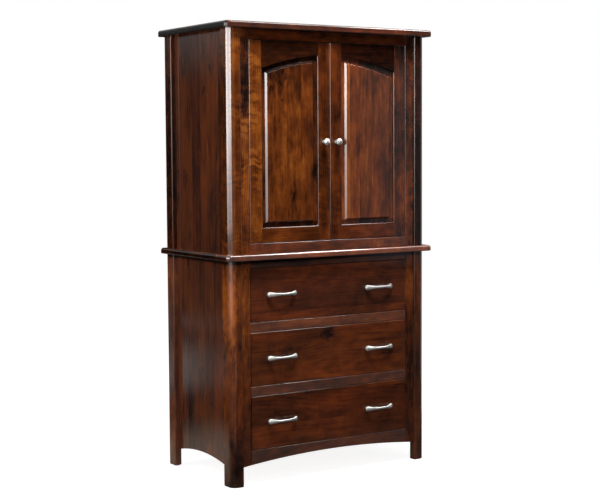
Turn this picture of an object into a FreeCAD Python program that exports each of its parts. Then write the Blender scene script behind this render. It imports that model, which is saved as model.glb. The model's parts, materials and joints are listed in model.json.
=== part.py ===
import FreeCAD, Part
import os
import re
import Sketcher

# A tall two-piece cabinet in stained wood: a base with three drawers and an upper case with two doors.
# Millimetres, +Z up, the front faces -Y, the origin is on the floor under the middle of the boards.

sizes = {
    # whole cabinet
    "case_width": 1034,
    "case_depth": 578,
    "total_height": 1980,
    "waist_height": 1000,
    # crown board and waist board
    "crown_thickness": 29,
    "waist_thickness": 26,
    "board_overhang": 26,
    "board_back_overhang": 8,
    "board_corner_round": 20,
    "board_top_round": 12,
    "board_bottom_round": 5,
    # corner posts, L-shaped in front and plain behind
    "post_face_width": 58.6,
    "post_side_depth": 74,
    "post_thickness": 34.6,
    "post_corner_round": 30,
    "post_edge_round": 5,
    "rear_post_depth": 60.4,
    "glide_height": 3,
    "glide_radius": 10,
    "glide_round": 1,
    # side panels and backs
    "panel_recess": 21,
    "panel_lap": 10,
    "side_arch_spring": 78,
    "side_arch_rise": 27,
    "back_thickness": 9,
    "back_inset": 6,
    # face frames
    "face_setback": 11.7,
    "stile_width": 45,
    "frame_edge_round": 2,
    "upper_rail_height": 43,
    "base_top_rail_height": 35,
    "drawer_rail_height": 41,
    "apron_spring": 84,
    "apron_rise": 27,
    "apron_height": 68,
    # doors
    "door_gap": 2.5,
    "door_thickness": 22,
    "door_edge_round": 3,
    "door_stile_width": 62,
    "door_bottom_rail_height": 64,
    "door_top_rail_height": 57,
    "door_arch_radius": 1000,
    "tongue_depth": 8,
    "tongue_thickness": 6,
    "tongue_setback": 9,
    "tongue_play": 0.3,
    "panel_border": 20,
    "panel_bevel": 7.7,
    "field_setback": 1,
    # door knobs
    "knob_radius": 15,
    "knob_head_thickness": 19,
    "knob_reach": 35,
    "knob_neck_radius": 5,
    "knob_foot_radius": 8.5,
    "knob_foot_thickness": 3,
    # pivot hinges, catches and strikes
    "pivot_inset": 22,
    "pivot_setback": 12,
    "pivot_pin_radius": 3,
    "pivot_pin_clearance": 0.05,
    "pivot_collar_radius": 6,
    "pivot_collar_play": 0.2,
    "pivot_plate_length": 50,
    "pivot_plate_width": 14,
    "pivot_plate_thickness": 3,
    "pivot_plate_margin": 3,
    "catch_place": 70,
    "catch_width": 40,
    "catch_depth": 16,
    "catch_drop": 18,
    "catch_grip": 20,
    "strike_width": 30,
    "strike_height": 14,
    "strike_thickness": 0.6,
    "strike_play": 0.3,
    # inside of the upper case
    "floor_thickness": 18,
    "shelf_thickness": 18,
    "shelf_rise": 430,
    "shelf_setback": 30,
    "shelf_play": 1.5,
    "shelf_pin_radius": 3,
    "shelf_pin_clearance": 0.05,
    "shelf_pin_depth": 10,
    "shelf_pin_reach": 14,
    "shelf_pin_inset": 50,
    "shelf_pin_pitch": 64,
    "grommet_rise": 90,
    "grommet_bore_radius": 27,
    "grommet_sleeve_radius": 31,
    "grommet_flange_radius": 38,
    "grommet_flange_thickness": 3,
    "grommet_clearance": 0.1,
    # drawers
    "drawer_gap": 2,
    "drawer_front_thickness": 22,
    "drawer_front_round": 3,
    "box_wall": 14,
    "box_depth": 480,
    "box_lift": 18,
    "box_headroom": 27,
    "box_bottom_thickness": 6,
    "box_bottom_lift": 12,
    # drawer pulls and their screws
    "pull_place": 258,
    "pull_length": 147,
    "pull_screw_spacing": 128,
    "pull_bow": 26.5,
    "pull_end_height": 23,
    "pull_waist_height": 11.5,
    "pull_thickness": 8,
    "pull_end_thickness": 15,
    "pull_foot_radius": 6.5,
    "pull_foot_length": 9,
    "screw_radius": 2,
    "screw_clearance": 0.1,
    "screw_bite": 6,
    "screw_head_radius": 4.5,
    "screw_head_thickness": 2.5,
    # drawer slides
    "cleat_thickness": 38,
    "cleat_height": 60,
    "slide_rise": 60,
    "slide_length": 457,
    "slide_start": 3,
    "slide_thickness": 12.7,
    "slide_height": 45,
    "slide_wall": 1.2,
    "slide_play": 0.4,
    # how far a cutter runs past the wood
    "overrun": 20,
}
pin_hole_steps = (-2, -1, 0, 1, 2)
drawer_names = ("top_drawer", "middle_drawer", "bottom_drawer")

# The bow pull in sections from its middle to its end: place along the half length, how far out
# the middle line stands, and how far the section has swelled from the waist to the bulb.
pull_station_shares = (0, 0.3, 0.52, 0.68, 0.8, 0.9, 0.96, 0.99, 1)
pull_bow_shares = (1, 0.94, 0.82, 0.65, 0.48, 0.36, 0.33, 0.32, 0.32)
pull_swell_shares = (0, 0.04, 0.2, 0.52, 0.88, 1, 0.66, 0, -0.6)

doc = FreeCAD.newDocument("armoire")
sheet = doc.addObject("Spreadsheet::Sheet", "Sizes")
for row, (alias, value) in enumerate(sizes.items(), start=1):
    sheet.set("A%d" % row, alias)
    sheet.set("B%d" % row, str(value))
    sheet.setAlias("B%d" % row, alias)
doc.recompute()

pieces = []
same_place = 0.001
to_front = FreeCAD.Rotation(FreeCAD.Vector(1, 0, 0), 90)
to_right = FreeCAD.Rotation(FreeCAD.Vector(0, 1, 0), 90)
upwards = FreeCAD.Rotation()
across_bar = FreeCAD.Rotation(FreeCAD.Vector(0, 1, 0), -90)

# Places that many pieces share, as sums of the sheet's sizes
case_front = "((board_overhang - board_back_overhang - case_depth) / 2)"
case_back = f"({case_front} + case_depth)"
case_left = "(-case_width / 2)"
face_front = f"({case_front} + face_setback)"
frame_back = f"({case_front} + post_thickness)"
frame_thickness = "(post_thickness - face_setback)"
back_face = f"({case_back} - back_inset - back_thickness)"
inner_half = "(case_width / 2 - post_thickness)"
face_half = "(case_width / 2 - post_face_width)"
opening_half = f"({face_half} - stile_width)"
base_top = "(waist_height - waist_thickness)"
upper_top = "(total_height - crown_thickness)"
doorway_bottom = "(waist_height + upper_rail_height)"
doorway_top = f"({upper_top} - upper_rail_height)"


def cells(text):
    return re.sub(r"[a-z][a-z_]*", lambda word: "Sizes." + word[0] if word[0] in sizes else word[0], text)


def number(text):
    return float(sheet.evalExpression(cells(text)))


def bind(thing, **lengths):
    for name, text in lengths.items():
        thing.setExpression(name, cells(text))


def move(thing, corner, turn=upwards):
    thing.Placement = FreeCAD.Placement(FreeCAD.Vector(), turn)
    for axis, text in zip("xyz", corner):
        thing.setExpression("Placement.Base." + axis, cells(text))


def keep(thing, label):
    thing.Label = label
    pieces.append(thing)
    return thing


def box(name, corner, size):
    block = doc.addObject("Part::Box", name)
    bind(block, Length=size[0], Width=size[1], Height=size[2])
    move(block, corner)
    return block


def rod(name, base, radius, length, turn=upwards):
    bar = doc.addObject("Part::Cylinder", name)
    bind(bar, Radius=radius, Height=length)
    move(bar, base, turn)
    return bar


def cut(name, base, *tools):
    result = doc.addObject("Part::Cut", name)
    result.Base = base
    result.Tool = tools[0] if len(tools) == 1 else fuse(name + "_tools", *tools)
    return result


def fuse(name, *solids):
    result = doc.addObject("Part::MultiFuse", name)
    result.Shapes = list(solids)
    return result


def common(name, first, second):
    result = doc.addObject("Part::Common", name)
    result.Base = first
    result.Tool = second
    return result


def group(name, *solids):
    result = doc.addObject("Part::Compound", name)
    result.Links = list(solids)
    return result


def mirror(name, source):
    result = doc.addObject("Part::Mirroring", name)
    result.Source = source
    result.Normal = FreeCAD.Vector(1, 0, 0)
    return result


def pair(label, left):
    return keep(group(label, left, mirror(label + "_right", left)), label)


edge_work = {"round": ("PartDesign::Fillet", "Radius"), "bevel": ("PartDesign::Chamfer", "Size")}


def work_edges(body, source, chosen, size, work="round"):
    doc.recompute()
    bounds = source.Shape.BoundBox
    edges = [f"Edge{i}" for i, edge in enumerate(source.Shape.Edges, start=1) if chosen(edge, bounds)]
    last_feature = body.Tip
    kind, length = edge_work[work]
    feature = body.newObject(kind, f"{body.Name}_{work}")
    feature.Base = (last_feature, edges)
    bind(feature, **{length: size})
    doc.recompute()
    return feature


def eased(name, source, *jobs):
    body = doc.addObject("PartDesign::Body", name)
    body.BaseFeature = source
    body.setExpression("Placement", source.Name + ".Placement")
    shape_owner = source
    for job in jobs:
        shape_owner = work_edges(body, shape_owner, *job)
    return body


def lies_at(edge, axis, place):
    return all(abs(getattr(vertex.Point, axis) - place) < same_place for vertex in edge.Vertexes)


def is_upright(edge):
    return lies_at(edge, "x", edge.Vertexes[0].X) and lies_at(edge, "y", edge.Vertexes[0].Y)


# Choices of edges to work, seen in the bounds of their own piece
def on_front(edge, bounds):
    return lies_at(edge, "y", bounds.YMin)


def along_front(edge, bounds):
    return on_front(edge, bounds) and not is_upright(edge)


def front_corner(edge, bounds):
    return on_front(edge, bounds) and is_upright(edge)


def inner_front_corner(edge, bounds):
    return front_corner(edge, bounds) and lies_at(edge, "x", bounds.XMax)


def upper_rim(edge, bounds):
    return lies_at(edge, "z", bounds.ZMax) and not lies_at(edge, "y", bounds.YMax)


def lower_rim(edge, bounds):
    return lies_at(edge, "z", bounds.ZMin) and not lies_at(edge, "y", bounds.YMax)


def arch_radius(chord, rise):
    return f"((({chord}) / 2 * ({chord}) / 2 + {rise} * {rise}) / (2 * {rise}))"


# Crown and waist boards
def top_board(label, bottom, thickness):
    corner = (f"{case_left} - board_overhang", f"{case_front} - board_overhang", bottom)
    wide = "case_width + 2 * board_overhang"
    deep = "case_depth + board_overhang + board_back_overhang"
    blank = box(label + "_blank", corner, (wide, deep, thickness))
    rounds = (
        (front_corner, "board_corner_round"),
        (upper_rim, "board_top_round"),
        (lower_rim, "board_bottom_round"),
    )
    keep(eased(label, blank, *rounds), label)


# Posts: a section drawn from its outer corner, padded up
def post(label, base, height, corners, rounds):
    body = doc.addObject("PartDesign::Body", label)
    section = body.newObject("Sketcher::SketchObject", label + "_section")
    plane = [item for item in body.Origin.OriginFeatures if item.Role == "XY_Plane"][0]
    section.AttachmentSupport = [(plane, "")]
    section.MapMode = "FlatFace"
    spots = [FreeCAD.Vector(number(x), number(y), 0) for x, y in corners]
    for i, spot in enumerate(spots):
        section.addGeometry(Part.LineSegment(spot, spots[(i + 1) % len(spots)]))
    for i in range(len(spots)):
        section.addConstraint(Sketcher.Constraint("Coincident", i, 2, (i + 1) % len(spots), 1))
    for i, spot in enumerate(corners):
        for kind, axis, text in zip(("DistanceX", "DistanceY"), (-2, -1), spot):
            if text == "0":
                section.addConstraint(Sketcher.Constraint("PointOnObject", i, 1, axis))
                continue
            place = section.addConstraint(Sketcher.Constraint(kind, -1, 1, i, 1, number(text)))
            section.renameConstraint(place, f"{kind}_{i}")
            section.setExpression(f"Constraints.{kind}_{i}", cells(text))
    pad = body.newObject("PartDesign::Pad", label + "_length")
    pad.Profile = section
    bind(pad, Length=height)
    shape_owner = pad
    for places, radius in rounds:
        spots = [(number(x), number(y)) for x, y in places]

        def chosen(edge, bounds):
            return any(lies_at(edge, "x", x) and lies_at(edge, "y", y) for x, y in spots)

        shape_owner = work_edges(body, shape_owner, chosen, radius)
    move(body, base)
    return body


def posts(case, bottom, height):
    front_corners = (
        ("0", "0"),
        ("post_face_width", "0"),
        ("post_face_width", "post_thickness"),
        ("post_thickness", "post_thickness"),
        ("post_thickness", "post_side_depth - panel_lap"),
        ("panel_recess", "post_side_depth - panel_lap"),
        ("panel_recess", "post_side_depth"),
        ("0", "post_side_depth"),
    )
    front_rounds = (
        ((("0", "0"),), "post_corner_round"),
        ((("post_face_width", "0"), ("0", "post_side_depth")), "post_edge_round"),
    )
    front_base = (case_left, case_front, bottom)
    left = post(f"{case}_left_front_post", front_base, height, front_corners, front_rounds)
    keep(left, f"{case}_left_front_post")
    keep(mirror(f"{case}_right_front_post", left), f"{case}_right_front_post")
    rear_corners = (
        ("0", "0"),
        ("panel_recess", "0"),
        ("panel_recess", "panel_lap"),
        ("post_thickness", "panel_lap"),
        ("post_thickness", "rear_post_depth"),
        ("0", "rear_post_depth"),
    )
    rear_rounds = (((("0", "0"), ("0", "rear_post_depth")), "post_edge_round"),)
    rear_base = (case_left, f"{case_back} - rear_post_depth", bottom)
    pair(f"{case}_rear_posts", post(f"{case}_rear_post", rear_base, height, rear_corners, rear_rounds))


# Side panels lie in the rebates of the posts
panel_start = f"({case_front} + post_side_depth - panel_lap)"
panel_depth = "(case_depth - post_side_depth - rear_post_depth + 2 * panel_lap)"
panel_thickness = "(post_thickness - panel_recess)"
panel_x = f"({case_left} + panel_recess)"


def side_panels(case, finished):
    keep(finished, f"{case}_left_side_panel")
    keep(mirror(f"{case}_right_side_panel", finished), f"{case}_right_side_panel")


def base_side_panel():
    blank_size = (panel_thickness, panel_depth, f"{base_top} - side_arch_spring")
    blank = box("base_panel_blank", (panel_x, panel_start, "side_arch_spring"), blank_size)
    chord = "(case_depth - post_side_depth - rear_post_depth)"
    radius = arch_radius(chord, "side_arch_rise")
    middle = f"({case_front} + post_side_depth + {chord} / 2)"
    arch_base = (f"{panel_x} - overrun", middle, f"side_arch_spring + side_arch_rise - {radius}")
    arch = rod("base_panel_arch", arch_base, radius, f"{panel_thickness} + 2 * overrun", to_right)
    return cut("base_left_side_panel", blank, arch)


def pin_places():
    front = f"{frame_back} + shelf_setback + shelf_pin_inset"
    back = f"{back_face} - shelf_play - shelf_pin_inset"
    height = f"({doorway_bottom} + shelf_rise - shelf_pin_radius)"
    return front, back, height


def upper_side_panel():
    blank_size = (panel_thickness, panel_depth, f"{upper_top} - waist_height")
    blank = box("upper_panel_blank", (panel_x, panel_start, "waist_height"), blank_size)
    front, back, height = pin_places()
    holes = []
    for row, place in (("front", front), ("back", back)):
        for step in pin_hole_steps:
            base = (f"-{inner_half} - shelf_pin_depth", place, f"{height} + {step} * shelf_pin_pitch")
            radius = "shelf_pin_radius + shelf_pin_clearance"
            name = f"pin_hole_{row}_{pin_hole_steps.index(step)}"
            holes.append(rod(name, base, radius, "shelf_pin_depth + overrun", to_right))
    return cut("upper_left_side_panel", blank, group("pin_holes", *holes))


# Face frames
def face_frame_box(name, left, bottom, wide, high):
    return box(name, (left, face_front, bottom), (wide, frame_thickness, high))


def face_rail(name, bottom, high):
    blank = face_frame_box(name + "_blank", f"-{opening_half}", bottom, f"2 * {opening_half}", high)
    return eased(name, blank, (along_front, "frame_edge_round"))


def face_stile(name, bottom, high):
    blank = face_frame_box(name + "_blank", f"-{face_half}", bottom, "stile_width", high)
    return eased(name, blank, (inner_front_corner, "frame_edge_round"))


def apron_arch():
    radius = arch_radius(f"(2 * {face_half})", "apron_rise")
    base = ("0", f"{frame_back} + overrun", f"apron_spring + apron_rise - {radius}")
    return rod("apron_arch", base, radius, f"{frame_thickness} + 2 * overrun", to_front)


# Equal drawers share the height between the apron and the top rail
drawer_count = len(drawer_names)
apron_top = "(apron_spring + apron_height)"
drawers_height = f"({base_top} - base_top_rail_height - {apron_top})"
opening_height = f"(({drawers_height} - {drawer_count - 1} * drawer_rail_height) / {drawer_count})"


def drawer_bottom(place):
    return f"({apron_top} + {drawer_count - 1 - place} * ({opening_height} + drawer_rail_height))"


def base_face_frame():
    arch = apron_arch()
    stile = face_stile("base_stile", "apron_spring", f"{base_top} - apron_spring")
    pair("base_face_stiles", cut("base_stile_foot", stile, arch))
    top_rail = face_rail("base_top_rail", f"{base_top} - base_top_rail_height", "base_top_rail_height")
    keep(top_rail, "base_top_rail")
    rails = []
    for place in range(1, drawer_count):
        bottom = f"{drawer_bottom(place)} + {opening_height}"
        rails.append(face_rail(f"drawer_rail_{place}", bottom, "drawer_rail_height"))
    keep(group("drawer_rails", *rails), "drawer_rails")
    blank = face_rail("apron_blank", "apron_spring", "apron_height")
    keep(cut("base_apron", blank, arch), "base_apron")


def back_panel(label, bottom, high):
    return box(label, (f"-{inner_half}", back_face, bottom), (f"2 * {inner_half}", "back_thickness", high))


def foot_glides():
    x = f"{case_left} + post_thickness / 2"
    front_y = f"{case_front} + post_side_depth / 2"
    rear_y = f"{case_back} - rear_post_depth / 2"
    solids = []
    for name, y in (("front", front_y), ("rear", rear_y)):
        blank = rod(f"{name}_glide_blank", (x, y, "0"), "glide_radius", "glide_height")
        glide = eased(f"{name}_glide", blank, (lower_rim, "glide_round"))
        solids += [glide, mirror(f"{name}_right_glide", glide)]
    keep(group("foot_glides", *solids), "foot_glides")


# Drawer slides, drawn for the left side of an opening and mirrored
slide_reach = "(slide_thickness - slide_wall - slide_play)"
slide_nest = "(slide_wall + slide_play)"
slide_front = f"({frame_back} + slide_start)"


def channel(name, middle, near, far, half_height, open_outwards):
    size = (f"{far} - {near}", "slide_length", f"2 * {half_height}")
    corner = (f"-{opening_half} + {near}", slide_front, f"{middle} - {half_height}")
    blank = box(name + "_blank", corner, size)
    shift = "(-overrun)" if open_outwards else "slide_wall"
    hollow_size = (f"{far} - {near} - slide_wall + overrun", "slide_length + 2 * overrun",
                   f"2 * ({half_height} - slide_wall)")
    hollow_corner = (f"-{opening_half} + {near} + {shift}", f"{slide_front} - overrun",
                     f"{middle} - {half_height} + slide_wall")
    return cut(name, blank, box(name + "_hollow", hollow_corner, hollow_size))


def slide_height_at(place):
    return f"({drawer_bottom(place)} + box_lift + slide_rise)"


def slide_members(place):
    middle = slide_height_at(place)
    name = drawer_names[place]
    cabinet = channel(f"{name}_cabinet_member", middle, "0", slide_reach, "(slide_height / 2)", False)
    mid_half = f"(slide_height / 2 - {slide_nest})"
    mid = channel(f"{name}_mid_member", middle, slide_nest, slide_reach, mid_half, False)
    drawer_half = f"(slide_height / 2 - 2 * {slide_nest})"
    inner = channel(f"{name}_inner_member", middle, f"2 * {slide_nest}", "slide_thickness", drawer_half, True)
    return cabinet, mid, inner


def cleat(place):
    bottom = f"{slide_height_at(place)} - cleat_height / 2"
    corner = (f"-{opening_half} - cleat_thickness", frame_back, bottom)
    size = ("cleat_thickness", f"{back_face} - {frame_back}", "cleat_height")
    return box(f"{drawer_names[place]}_cleat", corner, size)


# Drawers
box_half = f"({opening_half} - slide_thickness)"
box_height = f"({opening_height} - box_lift - box_headroom)"


screw_hole_radius = "(screw_radius + screw_clearance)"
drilled_wood = "(drawer_front_thickness + box_wall)"


def pull_posts():
    return [f"{side}pull_screw_spacing / 2" for side in ("-", "")]


def pull(name, height):
    sections = []
    stations = list(zip(pull_station_shares, pull_bow_shares, pull_swell_shares))
    spread = [(-along, bow, swell) for along, bow, swell in stations[:0:-1]] + stations
    for i, (along, bow, swell) in enumerate(spread):
        section = doc.addObject("Part::Ellipse", f"{name}_section_{i}")
        half_height = f"(pull_waist_height + ({swell}) * (pull_end_height - pull_waist_height)) / 2"
        half_thickness = f"(pull_thickness + ({swell}) * (pull_end_thickness - pull_thickness)) / 2"
        bind(section, MajorRadius=half_height, MinorRadius=half_thickness)
        place = (f"-pull_place + {along} * pull_length / 2", f"{face_front} - {bow} * pull_bow", height)
        move(section, place, across_bar)
        sections.append(section)
    bow = doc.addObject("Part::Loft", name + "_bow")
    bow.Sections = sections
    bow.Solid = True
    feet = []
    holes = []
    for i, shift in enumerate(pull_posts()):
        foot_base = (f"-pull_place + {shift}", face_front, height)
        feet.append(rod(f"{name}_foot_{i}", foot_base, "pull_foot_radius", "pull_foot_length", to_front))
        hole_depth = "screw_bite + screw_clearance"
        holes.append(rod(f"{name}_hole_{i}", foot_base, screw_hole_radius, hole_depth, to_front))
    return cut(name, fuse(name + "_blank", bow, *feet), *holes)


def pull_screw(name, shift, height):
    head_face = f"{face_front} + {drilled_wood}"
    shank = rod(name + "_shank", (f"-pull_place + {shift}", head_face, height), "screw_radius",
                f"{drilled_wood} + screw_bite", to_front)
    head_base = (f"-pull_place + {shift}", f"{head_face} + screw_head_thickness", height)
    head = rod(name + "_head", head_base, "screw_head_radius", "screw_head_thickness", to_front)
    return fuse(name, shank, head)


def drawer(place):
    name = drawer_names[place]
    bottom = drawer_bottom(place)
    middle = f"({bottom} + {opening_height} / 2)"
    holes = []
    screws = []
    for i, shift in enumerate(pull_posts()):
        base = (f"-pull_place + {shift}", f"{face_front} + {drilled_wood} + overrun", middle)
        length = f"{drilled_wood} + 2 * overrun"
        hole = rod(f"{name}_screw_hole_{i}", base, screw_hole_radius, length, to_front)
        screw = pull_screw(f"{name}_screw_{i}", shift, middle)
        holes += [hole, mirror(f"{name}_right_screw_hole_{i}", hole)]
        screws += [screw, mirror(f"{name}_right_screw_{i}", screw)]
    hole_set = group(name + "_screw_holes", *holes)
    front_corner = (f"-{opening_half} + drawer_gap", face_front, f"{bottom} + drawer_gap")
    front_size = (f"2 * ({opening_half} - drawer_gap)", "drawer_front_thickness",
                  f"{opening_height} - 2 * drawer_gap")
    blank = box(name + "_front_blank", front_corner, front_size)
    rounded = eased(name + "_front_rounded", blank, (on_front, "drawer_front_round"))
    keep(cut(name + "_front", rounded, hole_set), name + "_front")
    keep(drawer_box(name, bottom, hole_set), name + "_box")
    left = pull(name + "_pull", middle)
    keep(group(name + "_pulls", left, mirror(name + "_right_pull", left), *screws), name + "_pulls")


def drawer_box(name, bottom, hole_set):
    start = f"({face_front} + drawer_front_thickness)"
    floor = f"({bottom} + box_lift)"
    inside = f"({box_half} - box_wall)"
    side = box(name + "_side", (f"-{box_half}", start, floor), ("box_wall", "box_depth", box_height))
    end_size = (f"2 * {inside}", "box_wall", box_height)
    inner_front = box(name + "_inner_front", (f"-{inside}", start, floor), end_size)
    back = box(name + "_back", (f"-{inside}", f"{start} + box_depth - box_wall", floor), end_size)
    sheet_size = (f"2 * {inside}", "box_depth - 2 * box_wall", "box_bottom_thickness")
    sheet_corner = (f"-{inside}", f"{start} + box_wall", f"{floor} + box_bottom_lift")
    bottom_sheet = box(name + "_bottom", sheet_corner, sheet_size)
    drilled = cut(name + "_drilled_front", inner_front, hole_set)
    return group(name + "_box", side, mirror(name + "_right_side", side), drilled, back, bottom_sheet)


# Doors, drawn on the left and mirrored
hinge_edge = f"(-{opening_half} + door_gap)"
lock_edge = "(-door_gap / 2)"
door_bottom = f"({doorway_bottom} + door_gap)"
door_top = f"({doorway_top} - door_gap)"
panel_left = f"({hinge_edge} + door_stile_width)"
panel_right = f"({lock_edge} - door_stile_width)"
panel_bottom = f"({door_bottom} + door_bottom_rail_height)"
arch_centre = f"({door_top} - door_top_rail_height - door_arch_radius)"
tongue_front = f"({face_front} + tongue_setback)"
panel_back = f"({tongue_front} + tongue_thickness)"
pivot_x = f"({hinge_edge} + pivot_inset)"
pivot_y = f"({face_front} + pivot_setback)"


def arched_slab(name, inset, front, back):
    corner = (f"{panel_left} + {inset}", front, f"{panel_bottom} + {inset}")
    size = (f"{panel_right} - {panel_left} - 2 * {inset}", f"{back} - {front}",
            f"{door_top} - {panel_bottom} - {inset}")
    block = box(name + "_block", corner, size)
    disc_base = ("0", f"{back} + overrun", arch_centre)
    disc_length = f"{back} - {front} + 2 * overrun"
    disc = rod(name + "_disc", disc_base, f"door_arch_radius - {inset}", disc_length, to_front)
    return common(name, block, disc)


def raised_panel():
    tongue = arched_slab("panel_tongue", "(-tongue_depth)", tongue_front, panel_back)
    block = arched_slab("panel_field", "panel_border", f"({face_front} + field_setback)", panel_back)
    field = eased("panel_field_bevelled", block, (on_front, "panel_bevel", "bevel"))
    return fuse("left_door_panel", tongue, field)


def door_stile(name, left):
    size = ("door_stile_width", "door_thickness", f"{door_top} - {door_bottom}")
    blank = box(name + "_blank", (left, face_front, door_bottom), size)
    return eased(name + "_rounded", blank, (on_front, "door_edge_round"))


def door_rail_blank(name, bottom, high):
    corner = (f"{panel_left} - door_edge_round", face_front, bottom)
    size = (f"{panel_right} - {panel_left} + 2 * door_edge_round", "door_thickness", high)
    return box(name + "_blank", corner, size)


def pivot_plate(name, left, bottom):
    corner = (f"{left} + pivot_plate_margin", f"{pivot_y} - pivot_plate_width / 2", bottom)
    return box(name, corner, ("pivot_plate_length", "pivot_plate_width", "pivot_plate_thickness"))


def pivots():
    pin_length = "(door_gap + 2 * pivot_plate_thickness)"
    collar_height = "(door_gap - pivot_collar_play)"
    cabinet_plates = []
    door_leaves = []
    for name, plate_z, pin_z, collar_z, leaf_z in (
        ("top", doorway_top, f"{door_top} - pivot_plate_thickness", f"{doorway_top} - {collar_height}",
         f"{door_top} - pivot_plate_thickness"),
        ("low", f"{doorway_bottom} - pivot_plate_thickness", f"{doorway_bottom} - pivot_plate_thickness",
         doorway_bottom, door_bottom),
    ):
        plate = pivot_plate(f"{name}_pivot_plate", f"-{opening_half}", plate_z)
        pin = rod(f"{name}_pivot_pin", (pivot_x, pivot_y, pin_z), "pivot_pin_radius", pin_length)
        collar_base = (pivot_x, pivot_y, collar_z)
        collar = rod(f"{name}_pivot_collar", collar_base, "pivot_collar_radius", collar_height)
        cabinet_plates.append(fuse(f"{name}_pivot", plate, pin, collar))
        leaf = pivot_plate(f"{name}_leaf_blank", hinge_edge, leaf_z)
        hole_base = (pivot_x, pivot_y, f"{leaf_z} - overrun")
        hole = rod(f"{name}_leaf_hole", hole_base, "pivot_pin_radius + pivot_pin_clearance",
                   "pivot_plate_thickness + 2 * overrun")
        door_leaves.append(cut(f"{name}_leaf", leaf, hole))
    return cabinet_plates, door_leaves


def strike():
    corner = ("-catch_place - strike_width / 2", f"{face_front} + door_thickness",
              f"{door_top} - door_edge_round - strike_height")
    return box("left_strike", corner, ("strike_width", "strike_thickness", "strike_height"))


def catch():
    front = f"({face_front} + door_thickness + strike_thickness + strike_play)"
    back = f"({frame_back} + catch_depth)"
    left = "-catch_place - catch_width / 2"
    magnet_size = ("catch_width", f"{back} - {front}", f"catch_drop + {doorway_top} - {door_top}")
    magnet = box("left_catch_magnet", (left, front, f"{door_top} - catch_drop"), magnet_size)
    case_size = ("catch_width", "catch_depth", "catch_grip")
    case = box("left_catch_case", (left, frame_back, doorway_top), case_size)
    return fuse("left_catch", magnet, case)


def knob():
    x = f"({lock_edge} - door_stile_width / 2)"
    z = f"(({door_bottom} + {door_top}) / 2)"
    foot = rod("knob_foot", (x, face_front, z), "knob_foot_radius", "knob_foot_thickness", to_front)
    neck = doc.addObject("Part::Cone", "knob_neck")
    bind(neck, Radius1="knob_neck_radius", Radius2="knob_foot_radius",
         Height="knob_reach - knob_head_thickness / 2")
    move(neck, (x, face_front, z), to_front)
    head = doc.addObject("Part::Ellipsoid", "knob_head")
    bind(head, Radius1="knob_head_thickness / 2", Radius2="knob_radius", Radius3="knob_radius")
    move(head, (x, f"{face_front} - knob_reach + knob_head_thickness / 2", z), to_front)
    return fuse("left_knob", foot, neck, head)


def doors(door_leaves):
    groove_play = "(-tongue_depth - tongue_play)"
    groove = arched_slab("panel_groove", groove_play, f"({tongue_front} - tongue_play)",
                         f"({panel_back} + tongue_play)")
    hinge_blank = door_stile("left_hinge_stile", hinge_edge)
    lock_blank = door_stile("left_lock_stile", panel_right)
    mortises = [pivot_plate(f"{name}_leaf_mortise", hinge_edge, z)
                for name, z in (("top", f"{door_top} - pivot_plate_thickness"), ("low", door_bottom))]
    low_blank = door_rail_blank("left_low_rail", door_bottom, "door_bottom_rail_height")
    low_round = eased("left_low_rail_rounded", low_blank, (along_front, "door_edge_round"))
    arch_base = ("0", f"{face_front} + door_thickness + overrun", arch_centre)
    arch = rod("door_arch", arch_base, "door_arch_radius", "door_thickness + 2 * overrun", to_front)
    blank_bottom = f"({arch_centre} + door_arch_radius / 2)"
    top_blank = door_rail_blank("left_top_rail", blank_bottom, f"{door_top} - {blank_bottom}")
    arched = cut("left_top_rail_arched", top_blank, arch)
    top_round = eased("left_top_rail_rounded", arched, (along_front, "door_edge_round"))
    left_pieces = {
        "hinge_stile": cut("left_hinge_stile", hinge_blank, groove, *mortises),
        "lock_stile": cut("left_lock_stile", lock_blank, groove),
        "top_rail": cut("left_top_rail", top_round, groove, hinge_blank, lock_blank),
        "bottom_rail": cut("left_bottom_rail", low_round, groove, hinge_blank, lock_blank),
        "panel": raised_panel(),
        "knob": knob(),
        "plates": group("left_plates", *door_leaves, strike()),
    }
    for name, piece in left_pieces.items():
        keep(piece, f"left_door_{name}")
        keep(mirror(f"right_door_{name}_mirrored", piece), f"right_door_{name}")


def upper_rail(label, bottom, mortise_z):
    rail = face_rail(label + "_rounded", bottom, "upper_rail_height")
    left = pivot_plate(label + "_mortise", f"-{opening_half}", mortise_z)
    keep(cut(label, rail, group(label + "_mortises", left, mirror(label + "_right_mortise", left))), label)


def upper_inside():
    floor_corner = (f"-{inner_half}", frame_back, f"{doorway_bottom} - floor_thickness")
    floor_size = (f"2 * {inner_half}", f"{back_face} - {frame_back}", "floor_thickness")
    keep(box("cabinet_floor", floor_corner, floor_size), "cabinet_floor")
    shelf_half = f"({inner_half} - shelf_play)"
    shelf_depth = f"{back_face} - {frame_back} - shelf_setback - shelf_play"
    shelf_corner = (f"-{shelf_half}", f"{frame_back} + shelf_setback", f"{doorway_bottom} + shelf_rise")
    shelf_blank = box("shelf_blank", shelf_corner, (f"2 * {shelf_half}", shelf_depth, "shelf_thickness"))
    keep(eased("loose_shelf", shelf_blank, (on_front, "frame_edge_round")), "loose_shelf")
    front, back, height = pin_places()
    pins = []
    for name, place in (("front", front), ("back", back)):
        base = (f"-{inner_half} - shelf_pin_depth", place, height)
        pin_length = "shelf_pin_depth + shelf_pin_reach"
        pin = rod(f"{name}_shelf_pin", base, "shelf_pin_radius", pin_length, to_right)
        pins += [pin, mirror(f"{name}_right_shelf_pin", pin)]
    keep(group("shelf_pins", *pins), "shelf_pins")


def grommet_rod(name, radius, start, length):
    height = f"{doorway_bottom} + grommet_rise"
    return rod(name, ("0", start, height), radius, length, to_front)


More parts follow.
